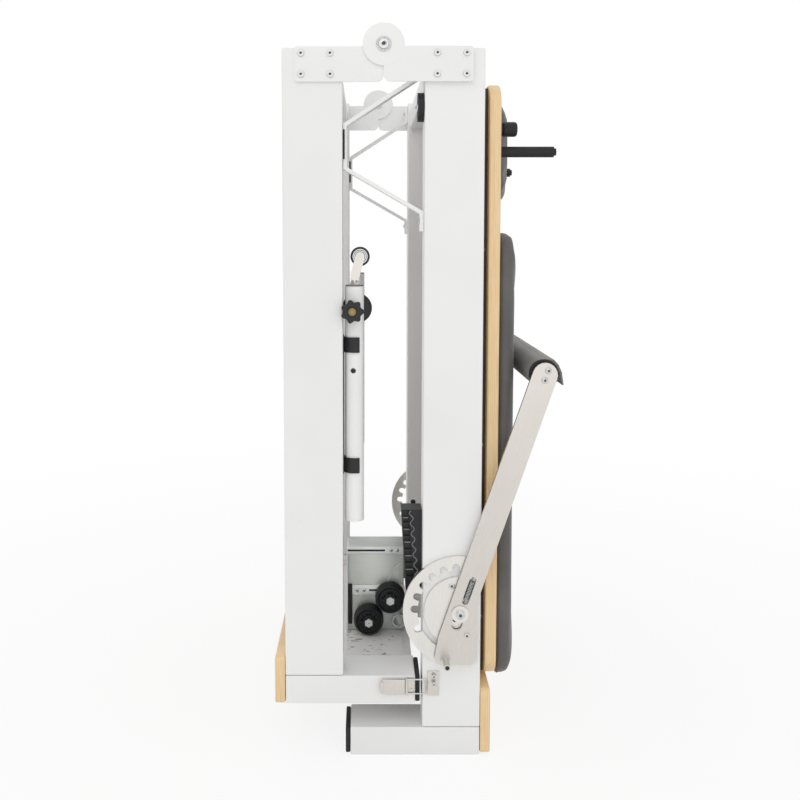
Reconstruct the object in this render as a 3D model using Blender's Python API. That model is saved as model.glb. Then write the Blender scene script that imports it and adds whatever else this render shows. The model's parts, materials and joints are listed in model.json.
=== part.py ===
"""Folding exercise reformer, folded at its middle hinge and standing on its foot end.

Metres, +Z up, +X towards the carriage side, -Y towards the near side. Lengths along X are measured
from the hinge line, and every object is then shifted so that the origin is at the middle of the base.
"""

import math

import bmesh
import bpy
from mathutils import Matrix, Vector

# Clearances
GAP = 0.0003
SLACK = 0.0006

# Frame tubes
FRAME_HALF_WIDTH = 0.325
RAIL_DEPTH = 0.100
RAIL_WIDTH = 0.050
RAIL_WALL = 0.002
HALF_GAP = 0.068
LEG_HEIGHT = 0.050
LEG_WIDTH = 0.080
LEG_REACH = 0.056
LEFT_LIFT = 0.092
RAIL_TOP = 1.208
PAD_THICKNESS = 0.008
BEAM_DEPTH = 0.040

# Middle hinge
PIVOT_Z = RAIL_TOP + 0.004
PIVOT_PIN = 0.008
HINGE_DISC = 0.0345
HINGE_LOBE = 0.033
HINGE_PLATE = 0.004
HINGE_REACH = 0.147
HINGE_LOW = RAIL_TOP - 0.056
HINGE_HIGH = RAIL_TOP + 0.001
SCREW_RADIUS = 0.005
SCREW_HEIGHT = 0.0028

# Timber
END_BOARD = 0.018
RIGHT_END_BOARD_HEIGHT = 0.114
LEFT_END_BOARD_HEIGHT = 0.083
CARRIAGE_BOARD = 0.020
CARRIAGE_LOW = 0.1225
CARRIAGE_HIGH = 1.157
CARRIAGE_HALF_WIDTH = FRAME_HALF_WIDTH - RAIL_WIDTH / 2
CARRIAGE_FRAME = 0.0102

# Carriage upholstery and stops
PAD_HEIGHT = 0.0335
PAD_EDGE = 0.016
PAD_CROWN = 0.003
PAD_FOOT = 0.006
MAT_LOW = 0.1125
MAT_HIGH = 0.905
MAT_HALF_WIDTH = CARRIAGE_HALF_WIDTH - 0.009
MAT_CORNER = 0.055
HEADREST_LOW = 0.957
HEADREST_HIGH = 1.155
HEADREST_HALF_WIDTH = 0.165
HEADREST_CORNER = 0.065
PEG_RADIUS = 0.0094
PEG_TIP = 0.303
PEG_Z = 1.046
PEG_Y = 0.240
STOP_KNOB_RADIUS = 0.0125
STOP_KNOB_TIP = 0.2326
STOP_KNOB_Z = 1.085

# Carriage running gear
ROLLER_RADIUS = 0.018
ROLLER_WIDTH = 0.020
ROLLER_AXLE = 0.005
ROLLER_ZS = (0.300, 1.020)
SPRING_Y = 0.060
SPRING_X = 0.140
SPRING_COIL = 0.009
SPRING_WIRE = 0.0013
SPRING_CURLS = 13
SPRING_PITCH = 0.0062
SPRING_BAR_Z = 0.600

# Footbar
GEAR_X = 0.131
GEAR_Z = 0.258
GEAR_RADIUS = 0.097
GEAR_HUB = 0.061
GEAR_TEETH = 0.072
GEAR_THICKNESS = 0.006
GEAR_FLAT = 0.029
NOTCH_RADIUS = 0.0063
NOTCH_CENTRE = 0.078
NOTCH_ANGLES = (94.6, 111.0, 127.5, 143.8, 160.0, 176.5, 203.0, 253.6)
GEAR_BOLT = 0.0086
GEAR_WASHER = 0.0145
ARM_THICKNESS = 0.006
ARM_WIDTH = 0.042
ARM_LENGTH = 0.432
ARM_LEAN = math.radians(18.83)
ARM_STANDOFF = 0.0023
LOCK_PIN = 0.0056
LOCK_PIN_REACH = 0.030
BAR_RADIUS = 0.014
SLEEVE_RADIUS = 0.025
ARM_SPRING_COIL = 0.0038
ARM_SPRING_WIRE = 0.0008
ARM_SPRING_CURLS = 7

# Stowed rope posts
POST_RADIUS = 0.016
POST_WALL = 0.002
POST_X = -0.0486
POST_Y = FRAME_HALF_WIDTH - RAIL_WIDTH / 2
POST_LOW = 0.410
POST_HIGH = 0.814
CLIP_ZS = (0.508, 0.715)
CLIP_HEIGHT = 0.026
CLIP_RADIUS = POST_RADIUS + 0.0029
POST_HOLE_ZS = (0.671, 0.723)
KNOB_RADIUS = 0.020
KNOB_Z = 0.773
SHEAVE_X = -0.039
SHEAVE_Z = 0.8645
SHEAVE_RADIUS = 0.0165
SHEAVE_AXLE = 0.003

# Foot-end fittings of the folding half
PROFILE_NEAR = -0.115
PROFILE_FAR = -0.055
PROFILE_TOP = 0.298
WHEEL_RADIUS = 0.0286
WHEEL_WIDTH = 0.0265
WHEEL_PIN = 0.004
WHEELS = {"a": (0.0175, 0.203), "b": (-0.0238, 0.160)}
TRAY_NEAR = RAIL_WIDTH / 2 - FRAME_HALF_WIDTH
TRAY_FAR = TRAY_NEAR + 0.038

# Middle legs and buffer under the hinge
MID_LEG_BAR = 0.006
MID_LEG_WIDTH = 0.030
BUFFER_RADIUS = 0.024
BUFFER_THICKNESS = 0.010

SIDES = {"near": -1, "far": 1}
OUTER = HALF_GAP + RAIL_DEPTH
LEFT_REACH = OUTER + GAP + END_BOARD
SHIFT = Vector(((LEFT_REACH - PEG_TIP) / 2, 0, 0))


def clear_scene():
    for obj in list(bpy.data.objects):
        bpy.data.objects.remove(obj)


def linear(value):
    return value / 12.92 if value <= 0.04045 else ((value + 0.055) / 1.055) ** 2.4


def finish(name, hex_code, roughness, metallic=0.0):
    """A Principled material from an sRGB hex colour."""
    made = bpy.data.materials.new(name)
    made.use_nodes = True
    colour = [linear(int(hex_code[i : i + 2], 16) / 255) for i in (0, 2, 4)]
    shader = made.node_tree.nodes["Principled BSDF"]
    shader.inputs["Base Color"].default_value = (*colour, 1)
    shader.inputs["Roughness"].default_value = roughness
    shader.inputs["Metallic"].default_value = metallic
    made.diffuse_color = (*colour, 1)
    return made


def collection(name):
    made = bpy.data.collections.new(name)
    bpy.context.scene.collection.children.link(made)
    return made


clear_scene()
PARTS = collection("folding_reformer")
CUTTERS = collection("cutters")
WHITE_COAT = finish("white_powder_coat", "ECECEA", 0.45)
PLYWOOD = finish("varnished_plywood", "E3C08E", 0.45)
STEEL = finish("brushed_stainless", "C9C4BC", 0.35, 0.9)
ALUMINIUM = finish("anodised_aluminium", "B9BBBD", 0.4, 0.8)
BLACK_PLASTIC = finish("black_plastic", "1D1F22", 0.5)
RUBBER = finish("black_rubber", "232426", 0.8)
UPHOLSTERY = finish("grey_upholstery", "5F5D5C", 0.7)
SLEEVE_FOAM = finish("grey_sleeve", "76736F", 0.75)
DARK_STEEL = finish("dark_steel", "4A3A2E", 0.5, 0.3)
SPRING_STEEL = finish("spring_steel", "9FA1A4", 0.3, 1.0)


def keep(name, bm, coat, origin=(0, 0, 0)):
    """Makes an object from a bmesh drawn in hinge-line coordinates, with its own origin at origin."""
    bmesh.ops.translate(bm, verts=bm.verts, vec=-Vector(origin))
    mesh = bpy.data.meshes.new(name)
    bm.to_mesh(mesh)
    bm.free()
    mesh.materials.append(coat)
    obj = bpy.data.objects.new(name, mesh)
    obj.location = Vector(origin) + SHIFT
    PARTS.objects.link(obj)
    return obj


def combine(target, bm, operation):
    """Unites a bmesh with target, or takes it away, through a hidden helper."""
    count = len(target.modifiers)
    mesh = bpy.data.meshes.new(f"{target.name}_tool_{count}")
    bm.to_mesh(mesh)
    bm.free()
    helper = bpy.data.objects.new(mesh.name, mesh)
    helper.location = SHIFT
    helper.hide_render = True
    helper.display_type = "WIRE"
    CUTTERS.objects.link(helper)
    modifier = target.modifiers.new(f"{operation.lower()}_{count}", "BOOLEAN")
    modifier.operation = operation
    modifier.solver = "EXACT"
    modifier.object = helper


def join(target, bm):
    combine(target, bm, "UNION")


def cut(target, bm):
    combine(target, bm, "DIFFERENCE")


def block(low, high, edge=0.0):
    """A box between two corners, with rounded edges where edge is given."""
    bm = bmesh.new()
    bmesh.ops.create_cube(bm, size=1)
    low, high = Vector(low), Vector(high)
    bmesh.ops.scale(bm, vec=high - low, verts=bm.verts)
    bmesh.ops.translate(bm, vec=(low + high) / 2, verts=bm.verts)
    if edge:
        bmesh.ops.bevel(
            bm, geom=bm.edges[:], offset=edge, segments=2, profile=0.5, affect="EDGES", material=-1
        )
    return bm


def sided(sign, low, high):
    """Near-side limits mirrored to the side of sign: y values are given as distances from the middle."""
    ys = sorted((sign * low[1], sign * high[1]))
    return (low[0], ys[0], low[2]), (high[0], ys[1], high[2])


TURNS = {
    "x": Matrix.Rotation(math.pi / 2, 3, "Y"),
    "y": Matrix.Rotation(-math.pi / 2, 3, "X"),
    "z": Matrix.Identity(3),
}


def rods(axis, centres, radius, start, end, segments=20):
    """Round bars along one axis, from start to end, at each pair of the other two coordinates."""
    bm = bmesh.new()
    start, end = sorted((start, end))
    middle = (start + end) / 2
    for first, second in centres:
        place = {
            "x": (middle, first, second),
            "y": (first, middle, second),
            "z": (first, second, middle),
        }[axis]
        bmesh.ops.create_cone(
            bm,
            cap_ends=True,
            segments=segments,
            radius1=radius,
            radius2=radius,
            depth=end - start,
            matrix=Matrix.Translation(place) @ TURNS[axis].to_4x4(),
        )
    return bm


def prism(axis, outline, start, end):
    """A flat outline, in the other two coordinates, given thickness along one axis."""
    start, end = sorted((start, end))
    bm = bmesh.new()
    place = {
        "x": lambda a, b: (start, a, b),
        "y": lambda a, b: (a, start, b),
        "z": lambda a, b: (a, b, start),
    }[axis]
    face = bm.faces.new([bm.verts.new(place(a, b)) for a, b in outline])
    made = bmesh.ops.extrude_face_region(bm, geom=[face])
    moved = [v for v in made["geom"] if isinstance(v, bmesh.types.BMVert)]
    step = Vector([end - start if name == axis else 0 for name in "xyz"])
    bmesh.ops.translate(bm, vec=step, verts=moved)
    bmesh.ops.recalc_face_normals(bm, faces=bm.faces)
    return bm


def arc(centre, radius, start, end, steps):
    """Points on an arc, with the angles in degrees."""
    angles = [math.radians(start + (end - start) * i / steps) for i in range(steps + 1)]
    return [(centre[0] + radius * math.cos(a), centre[1] + radius * math.sin(a)) for a in angles]


def rounded(low, high, radii, steps=6):
    """A rectangle with its own radius at each corner, from the lower left one anticlockwise."""
    corners = ((low[0], low[1]), (high[0], low[1]), (high[0], high[1]), (low[0], high[1]))
    signs = ((1, 1), (-1, 1), (-1, -1), (1, -1))
    points = []
    for i, ((x, y), (sx, sy), radius) in enumerate(zip(corners, signs, radii)):
        centre = (x + sx * radius, y + sy * radius)
        points += arc(centre, radius, 180 + 90 * i, 270 + 90 * i, steps)
    return points


def capsule(first, second, radius, steps=8):
    """The outline of a slot with round ends."""
    lean = math.degrees(math.atan2(second[1] - first[1], second[0] - first[0]))
    return arc(second, radius, lean - 90, lean + 90, steps) + arc(
        first, radius, lean + 90, lean + 270, steps
    )


def spun(axis, centre, profile, steps=28):
    """A solid of revolution: profile holds (radius, distance along the axis) and runs round once."""
    bm = bmesh.new()
    verts = [bm.verts.new((radius, 0, along)) for radius, along in profile]
    pairs = zip(verts, verts[1:] + verts[:1])
    edges = [bm.edges.new(pair) for pair in pairs if pair[0].co.x > 1e-7 or pair[1].co.x > 1e-7]
    bmesh.ops.spin(
        bm, geom=verts + edges, cent=(0, 0, 0), axis=(0, 0, 1), angle=math.tau, steps=steps, use_merge=True
    )
    bmesh.ops.remove_doubles(bm, verts=bm.verts, dist=1e-6)
    bmesh.ops.transform(bm, matrix=TURNS[axis].to_4x4(), verts=bm.verts)
    bmesh.ops.translate(bm, vec=centre, verts=bm.verts)
    bmesh.ops.recalc_face_normals(bm, faces=bm.faces)
    return bm


def strip(path, thickness):
    """The outline of a flat bar bent along path, seen on edge."""
    sides = ([], [])
    for i, point in enumerate(path):
        before = Vector(path[max(i - 1, 0)])
        after = Vector(path[min(i + 1, len(path) - 1)])
        here = Vector(point)
        ways = [(here - before), (after - here)]
        ways = [way.normalized() for way in ways if way.length > 0]
        along = sum(ways, Vector((0, 0))).normalized()
        reach = thickness / 2 / max(along.dot(ways[0]), 0.3)
        normal = Vector((-along.y, along.x)) * reach
        sides[0].append(tuple(here + normal))
        sides[1].append(tuple(here - normal))
    return sides[0] + sides[1][::-1]


def helix(start, end, coil, pitch, curls, points=8):
    """A wire's route: a straight lead, a coil about the line from start to end, and a straight lead."""
    start, end = Vector(start), Vector(end)
    along = (end - start).normalized()
    side = along.cross(Vector((0, 1, 0))).normalized()
    other = along.cross(side)
    lead = ((end - start).length - pitch * curls) / 2
    route = [start]
    for i in range(curls * points + 1):
        angle = math.tau * i / points
        away = side * math.cos(angle) + other * math.sin(angle)
        route.append(start + along * (lead + pitch * i / points) + away * coil)
    route.insert(1, start + along * lead * 0.9)
    route.append(end - along * lead * 0.9)
    route.append(end)
    return route


def wire(name, route, radius, coat):
    """A round wire along a route, as a curve with filled ends."""
    data = bpy.data.curves.new(name, "CURVE")
    data.dimensions = "3D"
    data.bevel_depth = radius
    data.bevel_resolution = 1
    data.use_fill_caps = True
    spline = data.splines.new("POLY")
    spline.points.add(len(route) - 1)
    for point, place in zip(spline.points, route):
        point.co = (*place, 1)
    data.materials.append(coat)
    obj = bpy.data.objects.new(name, data)
    obj.location = SHIFT
    PARTS.objects.link(obj)
    return obj


def box_tube(name, low, high, coat, wall, opened):
    """A rectangular tube. opened names the ends that stay open, such as "-z" or "+x"."""
    obj = keep(name, block(low, high, 0.0025), coat)
    inner_low = [value + wall for value in low]
    inner_high = [value - wall for value in high]
    for end in opened:
        index = "xyz".index(end[1])
        if end[0] == "-":
            inner_low[index] = low[index] - 0.01
        else:
            inner_high[index] = high[index] + 0.01
    cut(obj, block(inner_low, inner_high))
    return obj


def cushion(name, low, high, corner):
    """A padded slab on the carriage board: rounded corners and rim, drawn-in foot, raised middle."""
    bm = bmesh.new()
    half, thickness, length = high[1], high[0] - low[0], high[2] - low[2]
    end_steps = [corner * (1 - math.cos(math.radians(a))) for a in range(0, 91, 18)]
    stations = end_steps + [corner + (length - 2 * corner) * i / 4 for i in (1, 2, 3)]
    stations += [length - value for value in reversed(end_steps)]
    rings = []
    for station in stations:
        end = min(station, length - station)
        wide = half - corner + math.sqrt(max(corner**2 - max(corner - end, 0) ** 2, 0))
        top = thickness - PAD_EDGE + math.sqrt(max(PAD_EDGE**2 - max(PAD_EDGE - end, 0) ** 2, 0))
        edge = min(PAD_EDGE, top - 0.004)
        side = [(-PAD_FOOT, 0.0), (-PAD_FOOT / 4, (top - edge) / 2)]
        for angle in (0, 30, 60, 90):
            swing = math.radians(angle)
            side.append((edge * (math.cos(swing) - 1), top + edge * (math.sin(swing) - 1)))
        raised = PAD_CROWN * math.sin(math.pi * station / length)
        rim = [(low[0] + rise, wide + out) for out, rise in side]
        flat = wide - edge
        middle = [(low[0] + top + raised * (1 - f * f), f * flat) for f in (-0.6, -0.2, 0.2, 0.6)]
        full = [(x, -y) for x, y in rim] + middle + rim[::-1]
        rings.append([bm.verts.new((x, y, low[2] + station)) for x, y in full])
    for first, second in zip(rings, rings[1:]):
        for i in range(len(first)):
            j = (i + 1) % len(first)
            bm.faces.new((first[i], first[j], second[j], second[i]))
    bm.faces.new(rings[0])
    bm.faces.new(rings[-1])
    bmesh.ops.remove_doubles(bm, verts=bm.verts, dist=1e-6)
    bmesh.ops.recalc_face_normals(bm, faces=bm.faces)
    return keep(name, bm, UPHOLSTERY)


def make_rails(side, sign):
    inner = FRAME_HALF_WIDTH - RAIL_WIDTH
    for half, x_low, x_high, floor in (
        ("right", HALF_GAP, OUTER, 0.0),
        ("left", -OUTER, -HALF_GAP, LEFT_LIFT),
    ):
        low, high = sided(
            sign, (x_low, inner, floor + LEG_HEIGHT + GAP), (x_high, FRAME_HALF_WIDTH, RAIL_TOP)
        )
        box_tube(f"{half}_rail_{side}", low, high, WHITE_COAT, RAIL_WALL, ("-z",))


def make_legs(side, sign):
    inner = FRAME_HALF_WIDTH - LEG_WIDTH
    for half, turn, floor in (("right", 1, 0.0), ("left", -1, LEFT_LIFT)):
        xs = sorted((-turn * LEG_REACH, turn * OUTER))
        low, high = sided(sign, (xs[0], inner, floor), (xs[1], FRAME_HALF_WIDTH, floor + LEG_HEIGHT))
        outer_end = "+x" if turn > 0 else "-x"
        box_tube(f"{half}_leg_{side}", low, high, WHITE_COAT, RAIL_WALL, (outer_end,))
        tip = -turn * (LEG_REACH + GAP)
        pad = sorted((tip, tip - turn * PAD_THICKNESS))
        low, high = sided(
            sign,
            (pad[0], inner + 0.004, floor + 0.002),
            (pad[1], FRAME_HALF_WIDTH - 0.004, floor + LEG_HEIGHT - 0.002),
        )
        keep(f"{half}_leg_pad_{side}", block(low, high, 0.002), RUBBER)


def make_hinge(side, sign):
    face = FRAME_HALF_WIDTH + GAP
    front = face + HINGE_PLATE + GAP
    outside = front + HINGE_PLATE
    left_face = (sign * face, sign * (face + HINGE_PLATE))
    screws = [(x, z) for x in (0.088, 0.136) for z in (1.164, 1.198)]

    outline = rounded((-HINGE_REACH, HINGE_LOW), (0.0, HINGE_HIGH), (0.005, 0.012, 0.012, 0.005))
    left = keep(
        f"left_hinge_plate_{side}", prism("y", outline, *left_face), WHITE_COAT, (0, 0, PIVOT_Z)
    )
    join(left, rods("y", [(0, PIVOT_Z)], HINGE_LOBE, *left_face, 32))
    cut(left, rods("y", [(0, PIVOT_Z)], PIVOT_PIN + SLACK, sign * (face - 0.01), sign * outside, 20))
    heads = [(-x, z) for x, z in screws]
    head = (left_face[1] - sign * 0.001, left_face[1] + sign * SCREW_HEIGHT)
    join(left, rods("y", heads, SCREW_RADIUS, *head, 12))

    outline = rounded((0.0, HINGE_LOW), (HINGE_REACH, HINGE_HIGH), (0.012, 0.005, 0.005, 0.012))
    plate = prism("y", outline, sign * front, sign * outside)
    right = keep(f"right_hinge_plate_{side}", plate, WHITE_COAT)
    low, high = sided(
        sign,
        (0.072, face, HINGE_LOW + 0.001),
        (HINGE_REACH - 0.001, outside - 0.001, HINGE_HIGH - 0.001),
    )
    join(right, block(low, high))
    join(right, rods("y", [(0, PIVOT_Z)], HINGE_DISC, sign * front, sign * (outside + 0.0004), 40))
    join(right, rods("y", [(0, PIVOT_Z)], PIVOT_PIN, sign * (face - 0.004), sign * (outside - 0.001), 20))
    inside = sign * (outside - 0.001)
    join(right, rods("y", [(0, PIVOT_Z)], 0.0078, inside, sign * (outside + 0.0048), 16))
    join(right, rods("y", screws, SCREW_RADIUS, inside, sign * (outside + SCREW_HEIGHT), 12))


def make_beams():
    inner = FRAME_HALF_WIDTH - RAIL_WIDTH - GAP
    for half, turn in (("right", 1), ("left", -1)):
        xs = sorted((turn * (HALF_GAP + 0.004), turn * (HALF_GAP + 0.004 + BEAM_DEPTH)))
        box_tube(
            f"{half}_hinge_beam",
            (xs[0], -inner, 1.150),
            (xs[1], inner, 1.190),
            WHITE_COAT,
            RAIL_WALL,
            ("-y", "+y"),
        )
    box_tube(
        "right_foot_beam",
        (0.112, -inner, 0.060),
        (0.156, inner, 0.100),
        WHITE_COAT,
        RAIL_WALL,
        ("-y", "+y"),
    )


def make_end_boards():
    for half, turn, floor, height, corner in (
        ("right", 1, 0.003, RIGHT_END_BOARD_HEIGHT, 0.014),
        ("left", -1, LEFT_LIFT, LEFT_END_BOARD_HEIGHT, 0.008),
    ):
        outline = rounded(
            (-FRAME_HALF_WIDTH, floor), (FRAME_HALF_WIDTH, floor + height), (0.006, 0.006, corner, corner), 6
        )
        near = turn * (OUTER + GAP)
        keep(f"{half}_end_board", prism("x", outline, near, near + turn * END_BOARD), PLYWOOD)


def make_mid_legs(side, sign):
    flat = HALF_GAP - GAP - MID_LEG_BAR / 2
    path = [(flat, 1.200), (flat, 1.167), (-0.064, 1.084), (-0.064, 1.012), (flat, 0.938), (flat, 0.907)]
    middle = FRAME_HALF_WIDTH - RAIL_WIDTH / 2
    ys = sorted((sign * (middle - MID_LEG_WIDTH / 2), sign * (middle + MID_LEG_WIDTH / 2)))
    keep(f"mid_leg_{side}", prism("y", strip(path, MID_LEG_BAR), *ys), WHITE_COAT)


def make_buffer():
    middle = -(FRAME_HALF_WIDTH - RAIL_WIDTH / 2)
    high = HALF_GAP - GAP
    disc = rods("x", [(middle, 1.114)], BUFFER_RADIUS, high - BUFFER_THICKNESS, high, 32)
    keep("hinge_buffer", disc, RUBBER)


def make_ribbed_tray():
    """A moulded block under the near rail: it leans, and ribs part the pockets in its near face."""
    back = HALF_GAP - GAP
    low, high, rows, rib = 0.283, 0.4265, 6, 0.0016
    lean = (0.0320 - 0.0405) / (high - low)

    def tip(z):
        return 0.0405 + lean * (z - low)

    outline = [(back, high), (back, low), (tip(low), low), (tip(high), high)]
    tray = keep("ribbed_tray", prism("y", outline, TRAY_NEAR, TRAY_FAR), BLACK_PLASTIC)
    pitch = (high - low) / rows
    for row in range(rows):
        floor, top = low + row * pitch + rib, low + (row + 1) * pitch - rib / 2
        pocket = [(tip(z) + x, z) for x, z in ((rib, floor), (0.014, floor), (0.014, top), (rib, top))]
        cut(tray, prism("y", pocket, TRAY_NEAR - 0.001, TRAY_NEAR + 0.004))


def gear_slot():
    """The pin's path: a curved slot whose outer edge holds the notches."""
    points = []
    edge = math.degrees(NOTCH_RADIUS / GEAR_TEETH)
    angle = 80.0
    for notch in NOTCH_ANGLES:
        points += arc((0, 0), GEAR_TEETH, angle, notch - edge, 2)
        for swing in range(-90, 91, 36):
            rad, turn = math.radians(swing), math.radians(notch)
            out = NOTCH_CENTRE + NOTCH_RADIUS * math.cos(rad)
            across = NOTCH_RADIUS * math.sin(rad)
            x = out * math.cos(turn) - across * math.sin(turn)
            points.append((x, out * math.sin(turn) + across * math.cos(turn)))
        angle = notch + edge
    points += arc((0, 0), GEAR_TEETH, angle, 264, 2)
    points += arc((0, 0), GEAR_HUB, 264, 80, 20)
    return [(GEAR_X + x, GEAR_Z + z) for x, z in points]


def make_gear(side, sign):
    face = FRAME_HALF_WIDTH + GAP
    outside = face + GEAR_THICKNESS
    flat = math.degrees(math.acos(GEAR_FLAT / GEAR_RADIUS))
    outline = arc((GEAR_X, GEAR_Z), GEAR_RADIUS, flat, 360 - flat, 40)
    gear = keep(f"footbar_gear_{side}", prism("y", outline, sign * face, sign * outside), STEEL)
    cut(gear, prism("y", gear_slot(), sign * (face - 0.01), sign * (outside + 0.01)))
    arm_out = outside + ARM_STANDOFF + ARM_THICKNESS + GAP
    centre = [(GEAR_X, GEAR_Z)]
    join(gear, rods("y", centre, GEAR_BOLT, sign * (outside - 0.001), sign * (arm_out + 0.001)))
    join(gear, rods("y", centre, GEAR_WASHER, sign * arm_out, sign * (arm_out + 0.003), 32))
    join(gear, rods("y", centre, 0.0075, sign * (arm_out + 0.002), sign * (arm_out + 0.0075)))
    screw = [(GEAR_X - 0.0136, GEAR_Z + 0.045)]
    join(gear, rods("y", screw, 0.0048, sign * (outside - 0.001), sign * (outside + 0.0008), 16))


def arm_outline():
    """The footbar arm's outline about the gear's centre: a straight bar on a wide tail with round corners."""
    along = Vector((math.sin(ARM_LEAN), math.cos(ARM_LEAN)))
    across = Vector((along.y, -along.x)) * ARM_WIDTH / 2
    tip = along * ARM_LENGTH
    lean = math.degrees(math.atan2(across.y, across.x))
    points = arc(tip, ARM_WIDTH / 2, lean, lean + 180, 10)
    left = -across - along * 0.052
    points += [tuple(left)]
    points += arc((-0.029, -0.076), 0.0145, 190, 270, 4)
    points += arc((0.014, -0.075), 0.0155, 270, 360, 5)
    points += [(0.0298, 0.023)]
    right = across + along * 0.048
    points += [tuple(right)]
    return [(GEAR_X + x, GEAR_Z + z) for x, z in points]


def arm_window():
    """The two ends of the slot that holds the arm's lock spring."""
    along = Vector((math.sin(ARM_LEAN), math.cos(ARM_LEAN)))
    centre = Vector((GEAR_X, GEAR_Z)) + Vector((0.0015, -0.0005))
    return centre + along * 0.023, centre + along * 0.062


def make_footbar():
    tip = (GEAR_X + ARM_LENGTH * math.sin(ARM_LEAN), GEAR_Z + ARM_LENGTH * math.cos(ARM_LEAN))
    face = FRAME_HALF_WIDTH + GAP + GEAR_THICKNESS + ARM_STANDOFF
    outside = face + ARM_THICKNESS
    origin = (GEAR_X, 0, GEAR_Z)
    for side, sign in SIDES.items():
        bar = prism("y", arm_outline(), sign * face, sign * outside)
        arm = keep(f"footbar_arm_{side}", bar, STEEL, origin)
        through = (sign * (face - 0.01), sign * (outside + 0.01))
        hole = capsule((GEAR_X, GEAR_Z), (GEAR_X - 0.0054, GEAR_Z - 0.0204), GEAR_BOLT + SLACK)
        cut(arm, prism("y", hole, *through))
        cut(arm, prism("y", capsule(*arm_window(), 0.0058), *through))
        pin = [(GEAR_X - 0.0238, GEAR_Z - 0.0808)]
        join(arm, rods("y", pin, LOCK_PIN, sign * (face - 0.0015), sign * (outside + LOCK_PIN_REACH), 20))
        screws = [(GEAR_X + 0.0119, GEAR_Z - 0.038)]
        screws += [(tip[0] + 0.0052, tip[1] + 0.0076), (tip[0] - 0.0008, tip[1] - 0.0085)]
        join(arm, rods("y", screws, 0.0048, sign * (outside - 0.001), sign * (outside + 0.0022), 16))
    keep("footbar_tube", rods("y", [tip], BAR_RADIUS, GAP - face, face - GAP, 28), STEEL, origin)
    end = face - 0.009
    ring = [
        (BAR_RADIUS + GAP, -end),
        (SLEEVE_RADIUS - 0.003, -end),
        (SLEEVE_RADIUS, -end + 0.003),
        (SLEEVE_RADIUS, end - 0.003),
        (SLEEVE_RADIUS - 0.003, end),
        (BAR_RADIUS + GAP, end),
    ]
    keep("footbar_sleeve", spun("y", (tip[0], 0, tip[1]), ring, 28), SLEEVE_FOAM, origin)

    low, high = arm_window()
    margin = 0.0058 - GAP
    along = (high - low).normalized()
    first, last = low - along * margin, high + along * margin
    middle = -(face + outside) / 2
    pitch = 0.0038
    ends = (first.x, middle, first.y), (last.x, middle, last.y)
    route = helix(*ends, ARM_SPRING_COIL, pitch, ARM_SPRING_CURLS)
    wire("lock_spring_near", route, ARM_SPRING_WIRE, SPRING_STEEL)
    print(f"lock spring gap to itself {1000 * (pitch - 2 * ARM_SPRING_WIRE):.2f} mm")


def make_latch():
    face = FRAME_HALF_WIDTH + GAP
    base = keep("latch_base", block((0.038, -face - 0.002, 0.110), (0.054, -face, 0.140), 0.0004), STEEL)
    join(base, rods("z", [(0.041, -face - 0.0042)], 0.0026, 0.1105, 0.1395, 16))
    for z in (0.1125, 0.1375):
        join(base, rods("x", [(-face - 0.0042, z)], 0.0012, 0.041, 0.075, 10))
    join(base, rods("z", [(0.0745, -face - 0.0042)], 0.0012, 0.1125, 0.1375, 10))
    join(base, rods("y", [(0.0495, 0.118), (0.0495, 0.1335)], 0.003, -face - 0.0035, -face - 0.001, 14))
    keeper = keep("latch_keeper", block((0.077, -face - 0.002, 0.108), (0.097, -face, 0.151), 0.0004), STEEL)
    join(keeper, block((0.077, -face - 0.008, 0.117), (0.0785, -face - 0.001, 0.133)))
    join(keeper, rods("y", [(0.0895, 0.1235), (0.0895, 0.143)], 0.0036, -face - 0.0038, -face - 0.001, 14))
    lever = keep(
        "latch_lever",
        block((-0.002, -face - 0.0062, 0.112), (0.0381, -face - 0.0035, 0.138), 0.0008),
        STEEL,
        (0.041, -face - 0.0042, 0.125),
    )
    join(lever, block((-0.0045, -face - 0.0098, 0.115), (0.0005, -face - 0.0052, 0.135), 0.0008))


def make_post(side, sign):
    y = sign * POST_Y
    tube = rods("z", [(POST_X, y)], POST_RADIUS, POST_LOW, POST_HIGH, 28)
    post = keep(f"rope_post_{side}", tube, WHITE_COAT)
    cut(post, rods("z", [(POST_X, y)], POST_RADIUS - POST_WALL, POST_LOW - 0.01, POST_HIGH - 0.004, 20))
    holes = [(POST_X - 0.002, z) for z in POST_HOLE_ZS]
    cut(post, rods("y", holes, 0.0046, y, y + sign * 0.03, 16))

    back = -HALF_GAP + GAP
    spine = block((back, y - 0.008, 0.492), (back + 0.0013, y + 0.008, 0.731))
    clips = keep(f"post_clips_{side}", spine, BLACK_PLASTIC)
    inner = POST_RADIUS + GAP
    outline = arc((POST_X, y), CLIP_RADIUS, 62, 298, 16) + arc((POST_X, y), inner, 298, 62, 16)
    for z in CLIP_ZS:
        join(clips, prism("z", outline, z - CLIP_HEIGHT / 2, z + CLIP_HEIGHT / 2))

    lobes = []
    for i in range(42):
        angle = math.tau * i / 42
        radius = KNOB_RADIUS - 0.0022 + 0.0022 * math.cos(7 * angle)
        lobes.append((POST_X - 0.0033 + radius * math.cos(angle), KNOB_Z + radius * math.sin(angle)))
    start = sign * (FRAME_HALF_WIDTH + SLACK)
    post_face = sign * (POST_Y + POST_RADIUS + GAP)
    star = prism("y", lobes, start, start + sign * 0.014)
    knob = keep(f"star_knob_{side}", star, BLACK_PLASTIC, (POST_X - 0.0033, y, KNOB_Z))
    hub = [(POST_X - 0.0033, KNOB_Z)]
    join(knob, rods("y", hub, 0.009, post_face, start + sign * 0.002, 24))
    join(knob, rods("y", hub, 0.008, start + sign * 0.013, start + sign * 0.0165, 24))


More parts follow.
